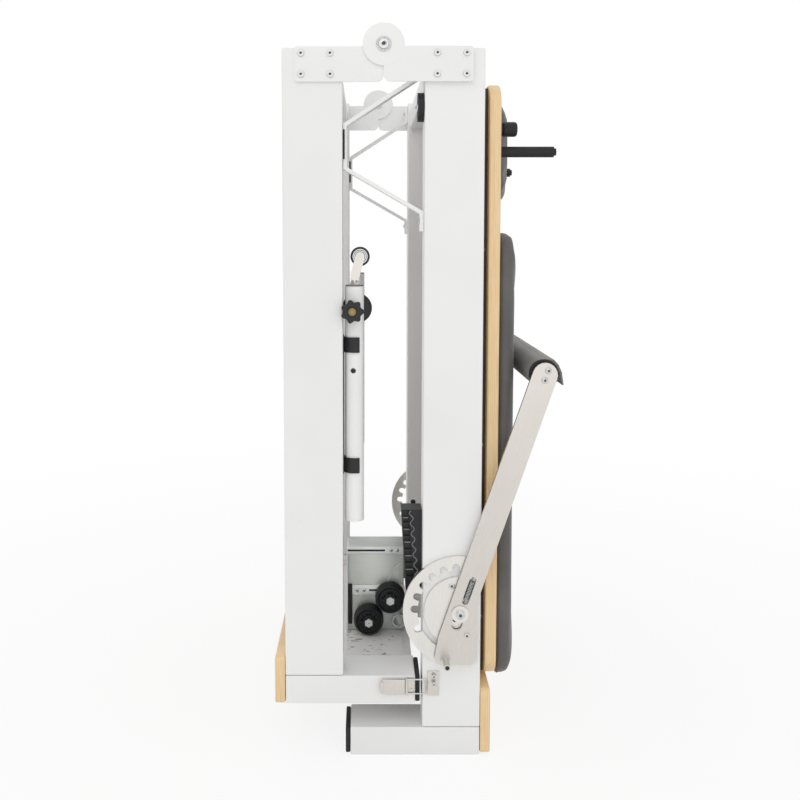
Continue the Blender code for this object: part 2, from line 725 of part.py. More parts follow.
def make_pulley():
    y = -POST_Y
    base = POST_HIGH + GAP
    fork = keep(
        "pulley_fork", rods("z", [(POST_X, y)], 0.0085, base, base + 0.006, 6), STEEL, (POST_X, y, base)
    )
    join(fork, rods("z", [(POST_X, y)], 0.004, base + 0.005, base + 0.013, 16))
    join(fork, block((-0.0555, y - 0.0095, base + 0.010), (-0.0400, y + 0.0095, base + 0.0125)))
    outline = capsule((-0.0475, base + 0.0180), (SHEAVE_X, SHEAVE_Z), 0.0078)
    for cheek in (-1, 1):
        join(fork, prism("y", outline, y + cheek * 0.0072, y + cheek * 0.0092))
    join(fork, rods("y", [(SHEAVE_X, SHEAVE_Z)], SHEAVE_AXLE, y - 0.0105, y + 0.0105, 16))
    half = 0.0062
    groove = [
        (SHEAVE_AXLE + GAP, -half),
        (SHEAVE_RADIUS, -half),
        (SHEAVE_RADIUS, -half + 0.0015),
        (SHEAVE_RADIUS - 0.004, -0.0015),
        (SHEAVE_RADIUS - 0.004, 0.0015),
        (SHEAVE_RADIUS, half - 0.0015),
        (SHEAVE_RADIUS, half),
        (SHEAVE_AXLE + GAP, half),
    ]
    centre = (SHEAVE_X, y, SHEAVE_Z)
    keep("pulley_sheave", spun("y", centre, groove, 24), BLACK_PLASTIC, centre)


def make_foot_end_fittings():
    reach = FRAME_HALF_WIDTH - LEG_WIDTH - GAP
    top = LEFT_LIFT + LEG_HEIGHT - 0.012
    keep("left_foot_panel", block((-0.1670, -reach, top - 0.003), (0.0545, reach, top), 0.0005), WHITE_COAT)
    low = (-0.066, PROFILE_NEAR, top + GAP)
    profile = box_tube("foot_cross_profile", low, (0.045, PROFILE_FAR, PROFILE_TOP), ALUMINIUM, 0.003, ("-z",))
    end = PROFILE_NEAR - WHEEL_WIDTH - 0.008
    join(profile, rods("y", WHEELS.values(), WHEEL_PIN, PROFILE_NEAR + 0.001, end - 0.002, 16))
    join(profile, rods("y", WHEELS.values(), 0.0082, end - 0.004, end, 6))
    half = WHEEL_WIDTH / 2
    ring = [
        (WHEEL_PIN + GAP, -half + 0.003),
        (0.011, -half),
        (0.013, -half + 0.004),
        (0.021, -half + 0.004),
        (0.0235, -half),
        (WHEEL_RADIUS - 0.003, -half),
        (WHEEL_RADIUS, -half + 0.005),
        (WHEEL_RADIUS, half - 0.005),
        (WHEEL_RADIUS - 0.003, half),
        (WHEEL_PIN + GAP, half),
    ]
    for name, (x, z) in WHEELS.items():
        centre = (x, PROFILE_NEAR - 0.004 - half, z)
        keep(f"transport_wheel_{name}", spun("y", centre, ring, 28), RUBBER, centre)


def make_carriage():
    back = OUTER + SLACK
    face = back + CARRIAGE_FRAME
    frame = keep("carriage_frame", block((back, -0.2745, 0.128), (face, 0.2745, 1.150)), DARK_STEEL)
    roller_y = FRAME_HALF_WIDTH - RAIL_WIDTH - SLACK - ROLLER_RADIUS
    centres = [(sign * roller_y, z) for sign in (-1, 1) for z in ROLLER_ZS]
    tip = back - ROLLER_WIDTH - 0.008
    join(frame, rods("x", centres, ROLLER_AXLE, tip, face - 0.001, 16))
    join(frame, rods("x", centres, 0.009, tip - 0.003, tip + 0.0005, 16))
    join(frame, block((SPRING_X - 0.010, -0.100, SPRING_BAR_Z), (face - 0.001, 0.100, SPRING_BAR_Z + 0.012)))
    ring = [
        (ROLLER_AXLE + GAP, -ROLLER_WIDTH / 2),
        (ROLLER_RADIUS, -ROLLER_WIDTH / 2),
        (ROLLER_RADIUS, ROLLER_WIDTH / 2),
        (ROLLER_AXLE + GAP, ROLLER_WIDTH / 2),
    ]
    for side, sign in SIDES.items():
        for level, z in zip(("low", "high"), ROLLER_ZS):
            centre = (tip + 0.0015 + ROLLER_WIDTH / 2, sign * roller_y, z)
            keep(f"guide_roller_{side}_{level}", spun("x", centre, ring, 24), BLACK_PLASTIC, centre)

    low = face + GAP
    high = low + CARRIAGE_BOARD
    outline = rounded(
        (-CARRIAGE_HALF_WIDTH, CARRIAGE_LOW), (CARRIAGE_HALF_WIDTH, CARRIAGE_HIGH), (0.040,) * 4, 8
    )
    keep("carriage_board", prism("x", outline, low, high), PLYWOOD)
    top = high + GAP
    thick = top + PAD_HEIGHT - PAD_CROWN
    cushion("carriage_mat", (top, 0, MAT_LOW), (thick, MAT_HALF_WIDTH, MAT_HIGH), MAT_CORNER)
    cushion(
        "headrest_pad", (top, 0, HEADREST_LOW), (thick, HEADREST_HALF_WIDTH, HEADREST_HIGH), HEADREST_CORNER
    )
    for side, sign in SIDES.items():
        centre = [(sign * PEG_Y, PEG_Z)]
        rod = rods("x", centre, PEG_RADIUS, top, PEG_TIP - 0.004, 24)
        peg = keep(f"shoulder_peg_{side}", rod, RUBBER)
        join(peg, rods("x", centre, PEG_RADIUS - 0.003, PEG_TIP - 0.005, PEG_TIP, 24))
    stop = rods("x", [(-PEG_Y, STOP_KNOB_Z)], STOP_KNOB_RADIUS, top, STOP_KNOB_TIP, 24)
    keep("stop_knob", stop, RUBBER)


def make_springs():
    for side, sign in SIDES.items():
        y = sign * SPRING_Y
        route = helix(
            (SPRING_X, y, 0.100 + GAP),
            (SPRING_X, y, SPRING_BAR_Z - GAP),
            SPRING_COIL,
            SPRING_PITCH,
            SPRING_CURLS,
        )
        wire(f"carriage_spring_{side}", route, SPRING_WIRE, SPRING_STEEL)
    print(f"carriage spring gap to itself {1000 * (SPRING_PITCH - 2 * SPRING_WIRE):.2f} mm")


for side_name, side_sign in SIDES.items():
    make_rails(side_name, side_sign)
    make_legs(side_name, side_sign)
    make_hinge(side_name, side_sign)
    make_mid_legs(side_name, side_sign)
    make_gear(side_name, side_sign)
    make_post(side_name, side_sign)
make_beams()
make_end_boards()
make_buffer()
make_ribbed_tray()
make_footbar()
make_latch()
make_pulley()
make_foot_end_fittings()
make_carriage()
make_springs()
bpy.context.view_layer.update()
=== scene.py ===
"""Looks of the folding reformer: finishes, upholstery, small fittings, light and camera.

Lengths are in metres in the row frame. Fittings count their X from the middle hinge, at HINGE_X.
"""

import json
import math

import bmesh
import bpy
from mathutils import Matrix, Vector
from mathutils.bvhtree import BVHTree

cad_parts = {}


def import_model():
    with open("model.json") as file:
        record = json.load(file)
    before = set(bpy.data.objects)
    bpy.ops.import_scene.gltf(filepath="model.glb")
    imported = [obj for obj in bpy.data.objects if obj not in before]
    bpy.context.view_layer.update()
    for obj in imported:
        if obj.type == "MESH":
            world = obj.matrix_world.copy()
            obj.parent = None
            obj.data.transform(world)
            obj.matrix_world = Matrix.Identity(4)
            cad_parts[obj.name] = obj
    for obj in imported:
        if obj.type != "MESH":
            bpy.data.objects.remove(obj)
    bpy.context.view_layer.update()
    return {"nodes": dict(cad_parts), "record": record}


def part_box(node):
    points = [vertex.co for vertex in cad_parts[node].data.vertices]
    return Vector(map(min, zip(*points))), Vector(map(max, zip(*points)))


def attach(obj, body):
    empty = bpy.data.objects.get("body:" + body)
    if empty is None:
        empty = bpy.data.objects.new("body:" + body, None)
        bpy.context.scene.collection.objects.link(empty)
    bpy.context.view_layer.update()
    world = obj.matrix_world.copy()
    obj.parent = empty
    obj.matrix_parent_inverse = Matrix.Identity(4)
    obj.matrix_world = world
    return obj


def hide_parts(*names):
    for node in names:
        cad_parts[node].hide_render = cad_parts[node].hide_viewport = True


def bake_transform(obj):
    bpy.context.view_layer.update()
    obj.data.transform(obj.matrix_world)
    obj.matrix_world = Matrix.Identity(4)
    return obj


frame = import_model()
NODES = frame["nodes"]
HINGE_X = -0.05835
SIDES = {"near": -1, "far": 1}
SMOOTH_LIMIT = math.radians(34)
ROUND_EDGES = {
    0.003: ("carriage_board", "left_end_board", "right_end_board"),
    0.002: ("right_rail_near", "right_rail_far", "left_rail_near", "left_rail_far"),
    0.0015: ("right_leg_near", "right_leg_far", "left_leg_near", "left_leg_far"),
}

# Places that several fittings share. A face is given by its distance from the middle of the width.
SIDE_Y = 0.300
PIVOT_Z = 1.212
ARM_LEAN = math.radians(18.83)
ARM_FACE = 0.3396
LOCK_PIN_X, LOCK_PIN_Z = 0.1072, 0.1772
POST_X, POST_TOP = -0.0486, 0.814
KNOB_X, KNOB_Z, KNOB_FACE = -0.0519, 0.773, 0.3421
PROFILE_FACE = -0.1150


# ---- Materials ----


def linear(value):
    return value / 12.92 if value <= 0.04045 else ((value + 0.055) / 1.055) ** 2.4


def colour(hex_code):
    """The linear colour of an sRGB hex value."""
    return (*(linear(int(hex_code[i : i + 2], 16) / 255) for i in (0, 2, 4)), 1)


def add(tree, kind, inputs=None, **settings):
    """Adds a node. inputs holds values or sockets by input name or number."""
    made = tree.nodes.new(kind)
    for name, value in settings.items():
        setattr(made, name, value)
    for name, value in (inputs or {}).items():
        if isinstance(value, bpy.types.NodeSocket):
            tree.links.new(value, made.inputs[name])
        else:
            made.inputs[name].default_value = value
    return made


def start(name, hex_code, roughness, metallic=0.0):
    """A Principled material in one colour. Returns it with its tree, shader and object coordinates."""
    made = bpy.data.materials.new(name)
    made.use_nodes = True
    tree = made.node_tree
    shader = tree.nodes["Principled BSDF"]
    shader.inputs["Base Color"].default_value = colour(hex_code)
    shader.inputs["Roughness"].default_value = roughness
    shader.inputs["Metallic"].default_value = metallic
    made.diffuse_color = colour(hex_code)
    coords = add(tree, "ShaderNodeTexCoord").outputs["Object"]
    return made, tree, shader, coords


def stretched(tree, coords, scale):
    return add(tree, "ShaderNodeMapping", {"Vector": coords, "Scale": scale}).outputs[0]


def noise(tree, coords, millimetres, detail=2.0):
    """Noise whose features are about this many millimetres across."""
    inputs = {"Vector": coords, "Scale": 1000 / millimetres, "Detail": detail}
    return add(tree, "ShaderNodeTexNoise", inputs).outputs["Fac"]


def ramp(tree, value, low, high, to_low=0.0, to_high=1.0):
    inputs = {"Value": value, "From Min": low, "From Max": high, "To Min": to_low, "To Max": to_high}
    return add(tree, "ShaderNodeMapRange", inputs).outputs[0]


def mix(tree, value, first, second):
    """A colour between two hex values or sockets."""
    sides = [colour(side) if isinstance(side, str) else side for side in (first, second)]
    return add(tree, "ShaderNodeMix", {0: value, 6: sides[0], 7: sides[1]}, data_type="RGBA").outputs[2]


def tint(tree, shader, socket):
    tree.links.new(socket, shader.inputs["Base Color"])


def relief(tree, shader, height, millimetres, strength=1.0):
    inputs = {"Height": height, "Distance": millimetres / 1000, "Strength": strength}
    tree.links.new(add(tree, "ShaderNodeBump", inputs).outputs[0], shader.inputs["Normal"])


def powder_coat():
    """White polyester powder coat: satin, with a 1.2 mm orange peel and faint handling marks."""
    made, tree, shader, coords = start("white_powder_coat", "F1F1F0", 0.4)
    relief(tree, shader, noise(tree, coords, 1.2, 1.0), 0.04, 0.3)
    clouds = noise(tree, coords, 220, 2.0)
    tone = mix(tree, ramp(tree, clouds, 0.35, 0.65), "EFEFEE", "F4F4F3")
    marks = noise(tree, stretched(tree, coords, (1, 1, 0.3)), 12, 5.0)
    tint(tree, shader, mix(tree, ramp(tree, marks, 0.7, 0.78, 0.0, 0.22), tone, "D9D8D4"))
    tree.links.new(ramp(tree, clouds, 0.3, 0.7, 0.34, 0.46), shader.inputs["Roughness"])
    return made


def birch_plywood():
    """Clear-varnished birch plywood: 1.6 mm plies along each edge, long grain on the faces."""
    made, tree, shader, coords = start("varnished_birch_plywood", "EFD3A6", 0.38)
    wave = {"Vector": coords, "Scale": math.pi / (10 * 0.0032), "Distortion": 0.15, "Detail": 1.0}
    plies = add(tree, "ShaderNodeTexWave", wave, bands_direction="X").outputs["Fac"]
    grain = noise(tree, stretched(tree, coords, (1.0, 1.0, 0.05)), 2.2, 4.0)
    figure = noise(tree, stretched(tree, coords, (1.0, 1.0, 0.12)), 70, 2.0)
    base = mix(tree, ramp(tree, grain, 0.3, 0.75), "F7DDB0", "EBC791")
    warmer = mix(tree, ramp(tree, figure, 0.4, 0.7, 0, 0.4), base, "E4B97E")
    tint(tree, shader, mix(tree, ramp(tree, plies, 0.3, 0.9, 0.0, 0.16), warmer, "C79A61"))
    relief(tree, shader, grain, 0.03, 0.25)
    shader.inputs["Coat Weight"].default_value = 0.3
    shader.inputs["Coat Roughness"].default_value = 0.25
    return made


def dark_brown_timber():
    """Dark brown hardwood frame under the carriage board, with open grain along its rails."""
    made, tree, shader, coords = start("dark_brown_hardwood", "4A3628", 0.55)
    grain = noise(tree, stretched(tree, coords, (1, 1, 0.04)), 2.5, 4.0)
    tint(tree, shader, mix(tree, grain, "35261D", "5F4836"))
    relief(tree, shader, grain, 0.08, 0.4)
    return made


def stainless(name, dark, light, lean=0.0):
    """Brushed 304 stainless: 0.5 mm lines along a length that leans this many degrees."""
    made, tree, shader, coords = start(name, light, 0.34, 1.0)
    turned = {"Vector": coords, "Rotation": (0, math.radians(-lean), 0)}
    upright = add(tree, "ShaderNodeMapping", turned).outputs[0]
    lines = noise(tree, stretched(tree, upright, (1, 1, 0.02)), 0.5, 2.0)
    clouds = noise(tree, coords, 60, 2.0)
    tone = mix(tree, ramp(tree, lines, 0.3, 0.7), dark, light)
    tint(tree, shader, mix(tree, ramp(tree, clouds, 0.4, 0.7, 0, 0.35), tone, dark))
    tree.links.new(ramp(tree, lines, 0.3, 0.7, 0.3, 0.4), shader.inputs["Roughness"])
    relief(tree, shader, lines, 0.01, 0.25)
    return made


def anodised_profile(name, dark, light):
    """Clear-anodised aluminium extrusion: even silver with faint die lines."""
    made, tree, shader, coords = start(name, light, 0.42, 0.6)
    lines = noise(tree, stretched(tree, coords, (0.03, 1, 1)), 1.2, 2.0)
    tint(tree, shader, mix(tree, lines, dark, light))
    relief(tree, shader, lines, 0.012, 0.3)
    return made


def scuffed_enamel():
    """White enamelled sheet with dark scuffs where wheels and posts have rubbed it."""
    made, tree, shader, coords = start("scuffed_white_enamel", "F4F4F2", 0.25)
    marks = ramp(tree, noise(tree, stretched(tree, coords, (1, 3, 1)), 14, 6.0), 0.58, 0.64)
    patches = ramp(tree, noise(tree, coords, 45, 1.0), 0.46, 0.56)
    worn = add(tree, "ShaderNodeMath", {0: marks, 1: patches}, operation="MULTIPLY").outputs[0]
    tint(tree, shader, mix(tree, worn, "F5F5F3", "57524C"))
    return made


def moulded_nylon(name="moulded_black_nylon", dark="0C0D0F", light="17191C", roughness=0.42):
    """Glass-filled nylon moulding with a fine spark-eroded texture."""
    made, tree, shader, coords = start(name, light, roughness)
    tint(tree, shader, mix(tree, noise(tree, coords, 18), dark, light))
    relief(tree, shader, noise(tree, coords, 0.9), 0.04, 0.4)
    return made


def black_rubber():
    """Solid rubber: matte, slightly dusty where it is handled."""
    made, tree, shader, coords = start("black_rubber", "17191D", 0.65)
    dust = ramp(tree, noise(tree, coords, 14, 4.0), 0.45, 0.75, 0, 0.6)
    tint(tree, shader, mix(tree, dust, "121418", "2C2E33"))
    tree.links.new(ramp(tree, dust, 0, 0.6, 0.55, 0.8), shader.inputs["Roughness"])
    relief(tree, shader, noise(tree, coords, 0.8), 0.05, 0.3)
    return made


def leathercloth(name, dark, light, roughness):
    """Vinyl-coated upholstery cloth: a 1.4 mm pebbled grain with a soft sheen, and painted shade darkening
    the valleys between the pebbles.
    """
    made, tree, shader, coords = start(name, light, roughness)
    inputs = {"Vector": coords, "Scale": 1000 / 1.4}
    cells = add(tree, "ShaderNodeTexVoronoi", inputs, feature="DISTANCE_TO_EDGE").outputs["Distance"]
    pebble = ramp(tree, cells, 0.0, 0.35)
    clouds = ramp(tree, noise(tree, coords, 70, 3.0), 0.35, 0.7)
    tone = mix(tree, clouds, dark, light)
    # Painted shade: the valleys between the pebbles are darkened toward 454442.
    tint(tree, shader, mix(tree, ramp(tree, pebble, 0, 1, 0.3, 0), tone, "454442"))
    relief(tree, shader, pebble, 0.1, 0.4)
    shader.inputs["Sheen Weight"].default_value = 0.08
    return made


def plain_metal(name, dark, light, roughness, millimetres):
    """Small turned or drawn metal parts, slightly uneven in tone and polish."""
    made, tree, shader, coords = start(name, light, roughness, 1.0)
    patches = noise(tree, coords, millimetres)
    tint(tree, shader, mix(tree, patches, dark, light))
    polish = ramp(tree, patches, 0.3, 0.7, roughness - 0.05, roughness + 0.08)
    tree.links.new(polish, shader.inputs["Roughness"])
    return made


FINISHES = {
    "white_coat": powder_coat(),
    "plywood": birch_plywood(),
    "stained_wood": dark_brown_timber(),
    "stainless": stainless("brushed_stainless_sheet", "D2CDC6", "DDD9D3", 18.8),
    "aluminium": anodised_profile("anodised_aluminium", "CED3CE", "DDE1DC"),
    "black_plastic": moulded_nylon(),
    "rubber": black_rubber(),
    "upholstery": leathercloth("grey_leathercloth", "5B5957", "696764", 0.5),
    "sleeve": leathercloth("pale_grey_leathercloth", "827F7B", "94918C", 0.5),
    # Drawn carbon-steel spring wire.
    "spring_steel": plain_metal("drawn_spring_wire", "A3A5A7", "BEC0C2", 0.26, 3),
}
# The gears are polished brighter than the arms.
GEAR_STEEL = stainless("polished_stainless_plate", "E0DDD8", "ECE9E5")
# The bars across the profile are newer and brighter than it.
BRIGHT_BAR = anodised_profile("bright_anodised_bar", "E9ECEA", "F4F6F4")
SCUFFED = scuffed_enamel()
# Bright zinc plating on bolts and screws.
ZINC = plain_metal("zinc_plated_steel", "BDBEC0", "DDDEDF", 0.24, 4)
# Turned brass threaded inserts.
BRASS = plain_metal("turned_brass", "8A7649", "A8935F", 0.3, 3)
# Drive sockets: plating in shadow.
SOCKET = plain_metal("shaded_socket_steel", "4A4B4D", "5C5D60", 0.4, 2)
# Painted shade: a near-black finish for the thin discs and strips that stand for the shade inside holes,
# bores and slots.
PAINTED_HOLE_SHADE = moulded_nylon("painted_hole_shade", "101113", "1E2022", 0.6)
# Mid-grey polyethylene end plugs and beads.
GREY_PLUG = moulded_nylon("grey_polyethylene", "6C6C70", "85858A", 0.5)


# ---- Making pieces ----


def place(obj, finish, body=None, replaces=()):
    """Puts a finished piece into the scene, riding on a body of the frame if one is named."""
    obj.data.materials.clear()
    obj.data.materials.append(finish)
    if obj.name not in bpy.context.scene.collection.objects:
        bpy.context.scene.collection.objects.link(obj)
    if body:
        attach(obj, body)
    if replaces:
        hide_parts(*replaces)
    return obj


def piece(name, bm, finish, body, replaces=()):
    """Makes a piece from a bmesh drawn in the row frame, smooth but for its sharp edges."""
    bmesh.ops.remove_doubles(bm, verts=bm.verts, dist=1e-6)
    bmesh.ops.recalc_face_normals(bm, faces=bm.faces)
    for edge in bm.edges:
        edge.smooth = len(edge.link_faces) == 2 and edge.calc_face_angle() <= SMOOTH_LIMIT
    for face in bm.faces:
        face.smooth = True
    mesh = bpy.data.meshes.new(name)
    bm.to_mesh(mesh)
    bm.free()
    return place(bpy.data.objects.new(name, mesh), finish, body, replaces)


def block(bm, low, high, edge=0.0):
    """Adds a box between two corners, X counted from the hinge, with rounded edges."""
    low, high = Vector(low), Vector(high)
    made = bmesh.ops.create_cube(bm, size=1)["verts"]
    bmesh.ops.scale(bm, vec=high - low, verts=made)
    bmesh.ops.translate(bm, vec=(low + high) / 2 + Vector((HINGE_X, 0, 0)), verts=made)
    if edge:
        edges = list({e for v in made for e in v.link_edges})
        bmesh.ops.bevel(bm, geom=edges, offset=edge, segments=3, profile=0.5, affect="EDGES", material=-1)


TURNS = {
    "x": Matrix.Rotation(math.pi / 2, 4, "Y"),
    "y": Matrix.Rotation(-math.pi / 2, 4, "X"),
    "z": Matrix.Identity(4),
}


def spun(bm, axis, centre, profile, steps=48):
    """Adds a turned shape. profile holds (radius, distance along the axis); X counts from the hinge."""
    old = set(bm.verts)
    verts = [bm.verts.new((radius, 0, along)) for radius, along in profile]
    edges = [bm.edges.new(pair) for pair in zip(verts, verts[1:])]
    bmesh.ops.spin(
        bm, geom=verts + edges, cent=(0, 0, 0), axis=(0, 0, 1), angle=math.tau, steps=steps, use_merge=True
    )
    where = Matrix.Translation(Vector(centre) + Vector((HINGE_X, 0, 0))) @ TURNS[axis]
    bmesh.ops.transform(bm, matrix=where, verts=[v for v in bm.verts if v not in old])


def disc(bm, axis, centre, radius, height, steps=32):
    spun(bm, axis, centre, [(0.0, 0.0), (radius, 0.0), (radius, height), (0.0, height)], steps)


def ring(bm, axis, centre, inner, outer, height, steps=40):
    """Adds a flat ring whose outer rim is softened."""
    soft = 0.15 * (outer - inner)
    top = height - math.copysign(min(soft, abs(height) / 3), height)
    profile = [(inner, 0.0), (outer, 0.0), (outer, top), (outer - soft, height), (inner, height)]
    spun(bm, axis, centre, profile + profile[:1], steps)


def button_heads(name, axis, heads, body):
    """Domed zinc heads with dark hexagonal sockets. heads holds (centre, radius, height), height signed."""
    domes, sockets = bmesh.new(), bmesh.new()
    for centre, radius, height in heads:
        turns = [math.radians(angle) for angle in (0, 25, 45, 62, 76, 90)]
        profile = [(radius * math.sin(a), height * (0.25 + 0.75 * math.cos(a))) for a in turns]
        spun(domes, axis, centre, profile + [(radius, 0.0), (0.0, 0.0)], 32)
        tip = Vector(centre)
        tip["xyz".index(axis)] += height
        disc(sockets, axis, tip, radius * 0.4, math.copysign(0.0002, height), 6)
    piece(name, domes, ZINC, body)
    piece(name + "_sockets", sockets, SOCKET, body)


def wire(name, route, radius, finish, body=None, replaces=(), cyclic=False):
    """A round wire along a route in the row frame."""
    line = bpy.data.curves.new(name, "CURVE")
    line.dimensions = "3D"
    line.bevel_depth = radius
    line.bevel_resolution = 3
    line.use_fill_caps = True
    spline = line.splines.new("POLY")
    spline.points.add(len(route) - 1)
    spline.use_cyclic_u = cyclic
    for point, where in zip(spline.points, route):
        point.co = (*where, 1)
    drawn = bpy.data.objects.new(name + "_line", line)
    bpy.context.scene.collection.objects.link(drawn)
    graph = bpy.context.evaluated_depsgraph_get()
    mesh = bpy.data.meshes.new_from_object(drawn.evaluated_get(graph))
    bpy.data.objects.remove(drawn)
    for face in mesh.polygons:
        face.use_smooth = True
    return place(bpy.data.objects.new(name, mesh), finish, body, replaces)


def coil(first, last, radius, curls, length, points):
    """The route of a coil between two points, wound over length, with straight ends."""
    first, last = Vector(first), Vector(last)
    along = (last - first).normalized()
    side = along.cross(Vector((0, 1, 0))).normalized()
    other = along.cross(side)
    lead = ((last - first).length - length) / 2
    route = [first, first + along * lead * 0.96]
    count = curls * points
    for i in range(count + 1):
        angle = math.tau * i / points
        away = (side * math.cos(angle) + other * math.sin(angle)) * radius
        route.append(first + along * (lead + length * i / count) + away)
    return route + [last - along * lead * 0.96, last]


# ---- The frame's own solids ----


def dress_frame():
    """Gives every solid its finish, soft edges where the real part has them, and smooth shading."""
    slots = {part["node"]: part["material_slot"] for part in frame["record"]["subparts"]}
    widths = {name: width for width, names in ROUND_EDGES.items() for name in names}
    for name, obj in NODES.items():
        finish = GEAR_STEEL if name.startswith("footbar_gear") else FINISHES[slots[name]]
        if obj.material_slots:
            obj.material_slots[0].material = finish
        else:
            obj.data.materials.append(finish)
        for face in obj.data.polygons:
            face.use_smooth = True
        obj.modifiers.new("weld", "WELD").merge_threshold = 0.00001
        if name in widths:
            flat = obj.modifiers.new("join_flats", "DECIMATE")
            flat.decimate_type = "DISSOLVE"
            flat.angle_limit = math.radians(0.5)
            bevel = obj.modifiers.new("round_edges", "BEVEL")
            bevel.width = widths[name]
            bevel.segments = 3
            bevel.limit_method = "ANGLE"
            bevel.angle_limit = math.radians(60)
        obj.modifiers.new("split", "EDGE_SPLIT").split_angle = SMOOTH_LIMIT
        if name in widths:
            obj.modifiers.new("flat_faces", "WEIGHTED_NORMAL").weight = 60


# ---- Upholstery ----


def even_copy(node, name, voxel, shrink):
    """An evenly meshed copy of a pad, scaled in thickness by shrink, and the X of its back."""
    bm = bmesh.new()
    bm.from_mesh(NODES[node].data)
    bmesh.ops.remove_doubles(bm, verts=bm.verts, dist=1e-5)
    back = min(vert.co.x for vert in bm.verts)
    for vert in bm.verts:
        vert.co.x = back + (vert.co.x - back) * shrink
    mesh = bpy.data.meshes.new(name + "_plain")
    bm.to_mesh(mesh)
    bm.free()
    obj = bpy.data.objects.new(name, mesh)
    bpy.context.scene.collection.objects.link(obj)
    remesh = obj.modifiers.new("remesh", "REMESH")
    remesh.mode = "VOXEL"
    remesh.voxel_size = voxel
    graph = bpy.context.evaluated_depsgraph_get()
    even = bpy.data.meshes.new_from_object(obj.evaluated_get(graph))
    obj.modifiers.clear()
    obj.data = even
    return obj, back


def inflate(obj, back, cap):
    """Blows the pad up as cloth with its back held, each point at most cap from where it was."""
    frames = 20
    rest =[vert.co.copy() for vert in obj.data.vertices]
    held = obj.vertex_groups.new(name="back")
    held.add([i for i, co in enumerate(rest) if co.x < back + 0.003], 1.0, "REPLACE")
    cloth = obj.modifiers.new("pad", "CLOTH")
    cloth.settings.use_pressure = True
    cloth.settings.uniform_pressure_force = 6.0
    cloth.settings.effector_weights.gravity = 0.0
    cloth.settings.vertex_group_mass = "back"
    cloth.point_cache.frame_start = 1
    cloth.point_cache.frame_end = frames
    for number in range(1, frames + 1):
        bpy.context.scene.frame_set(number)
    blown = obj.evaluated_get(bpy.context.evaluated_depsgraph_get()).data
    moved = [vert.co.copy() for vert in blown.vertices]
    obj.modifiers.clear()
    bpy.context.scene.frame_set(1)
    for vert, old, new in zip(obj.data.vertices, rest, moved):
        step = new - old
        vert.co = old + step * min(1.0, cap / max(step.length, 1e-9))
        vert.co.x = max(vert.co.x, back)


def fill_box(obj, node):
    """Stretches a smoothed pad from its back until it is at least as large as the node's solid."""
    low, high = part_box(node)
    middle = (low + high) / 2
    anchor = Vector((low[0], middle[1], middle[2]))
    for _ in range(2):
        graph = bpy.context.evaluated_depsgraph_get()
        points = [vert.co.copy() for vert in obj.evaluated_get(graph).data.vertices]
        reached = [max(point[i] for point in points) - anchor[i] for i in range(3)]
        factors = [max(1.0, (high[i] - anchor[i]) / reached[i]) for i in range(3)]
        for vert in obj.data.vertices:
            vert.co = anchor + Vector([step * factor for step, factor in zip(vert.co - anchor, factors)])
        obj.data.update()


def pad(node, name, voxel, shrink, cap):
    """An upholstered pad in place of its plain solid."""
    obj, back = even_copy(node, name, voxel, shrink)
    inflate(obj, back, cap)
    for face in obj.data.polygons:
        face.use_smooth = True
    smooth = obj.modifiers.new("smooth", "SMOOTH")
    smooth.factor = 0.5
    smooth.iterations = 2
    finer = obj.modifiers.new("finer", "SUBSURF")
    finer.levels = finer.render_levels = 1
    fill_box(obj, node)
    place(obj, FINISHES["upholstery"], "carriage", (node,))
    return obj


def welt(node, pad_piece, name, rise, corner, radius=0.0011):
    """The piping sewn round a pad's side, this far above the board, laid on the pad's surface."""
    spacing = 0.012
    low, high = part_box(node)
    surface = BVHTree.FromObject(pad_piece, bpy.context.evaluated_depsgraph_get())
    route = []
    ends = ((high[1], high[2], 0), (low[1], high[2], 90), (low[1], low[2], 180), (high[1], low[2], 270))
    for y, z, turn in ends:
        inward = -corner if turn < 180 else corner
        centre = Vector((low[0] + rise, y - math.copysign(corner, y), z + inward))
        for step in range(10):
            angle = math.radians(turn + 10 * step)
            route.append(centre + Vector((0, math.cos(angle), math.sin(angle))) * corner)
    filled = []
    for here, there in zip(route, route[1:] + route[:1]):
        count = max(1, round((there - here).length / spacing))
        filled += [here.lerp(there, i / count) for i in range(count)]
    laid = []
    for point in filled:
        found = surface.find_nearest(point)[0]
        laid.append(Vector((low[0] + rise, found.y, found.z)))
    wire(name, laid, radius, FINISHES["upholstery"], "carriage", cyclic=True)


def drawn_solid(outline, y_low, y_high):
    """A bmesh extruded along Y from an outline of (x, z) points."""
    bm = bmesh.new()
    face = bm.faces.new([bm.verts.new((x, y_low, z)) for x, z in outline])
    moved = bmesh.ops.extrude_face_region(bm, geom=[face])["geom"]
    verts = [item for item in moved if isinstance(item, bmesh.types.BMVert)]
    bmesh.ops.translate(bm, vec=(0, y_high - y_low, 0), verts=verts)
    return bm


